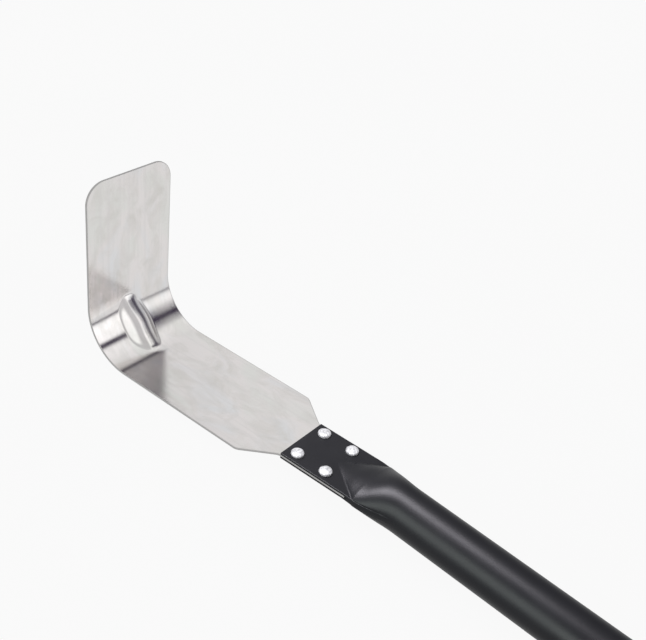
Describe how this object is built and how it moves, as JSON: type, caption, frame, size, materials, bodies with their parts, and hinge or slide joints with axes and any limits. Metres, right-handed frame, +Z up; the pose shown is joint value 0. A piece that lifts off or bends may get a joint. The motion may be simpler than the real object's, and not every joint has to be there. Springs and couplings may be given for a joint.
{
  "type": "hive tool",
  "caption": "Long-handled hive scraper: bent steel blade with an upright tip and a beaded bend, riveted between the flattened tongues of a black tube handle.",
  "frame": {"origin": "on the floor, under the middle of the overall length, on the plane of symmetry", "axes": "+X along the tube handle towards its hanging end, +Y across the blade, +Z up with the blade's tip standing up"},
  "size_m": [0.4256, 0.06, 0.103],
  "materials": {
    "blade_steel": "fine brushed stainless sheet, half bright",
    "handle_paint": "satin black powder coat",
    "rivet_metal": "hammered satin",
    "cap_plastic": "matt black moulded"
  },
  "bodies": {
    "root": {"blade": "blade_steel", "handle_tube": "handle_paint", "end_cap": "cap_plastic", "rivet_front_left": "rivet_metal", "rivet_front_right": "rivet_metal", "rivet_rear_left": "rivet_metal", "rivet_rear_right": "rivet_metal"}
  },
  "joints": []
}
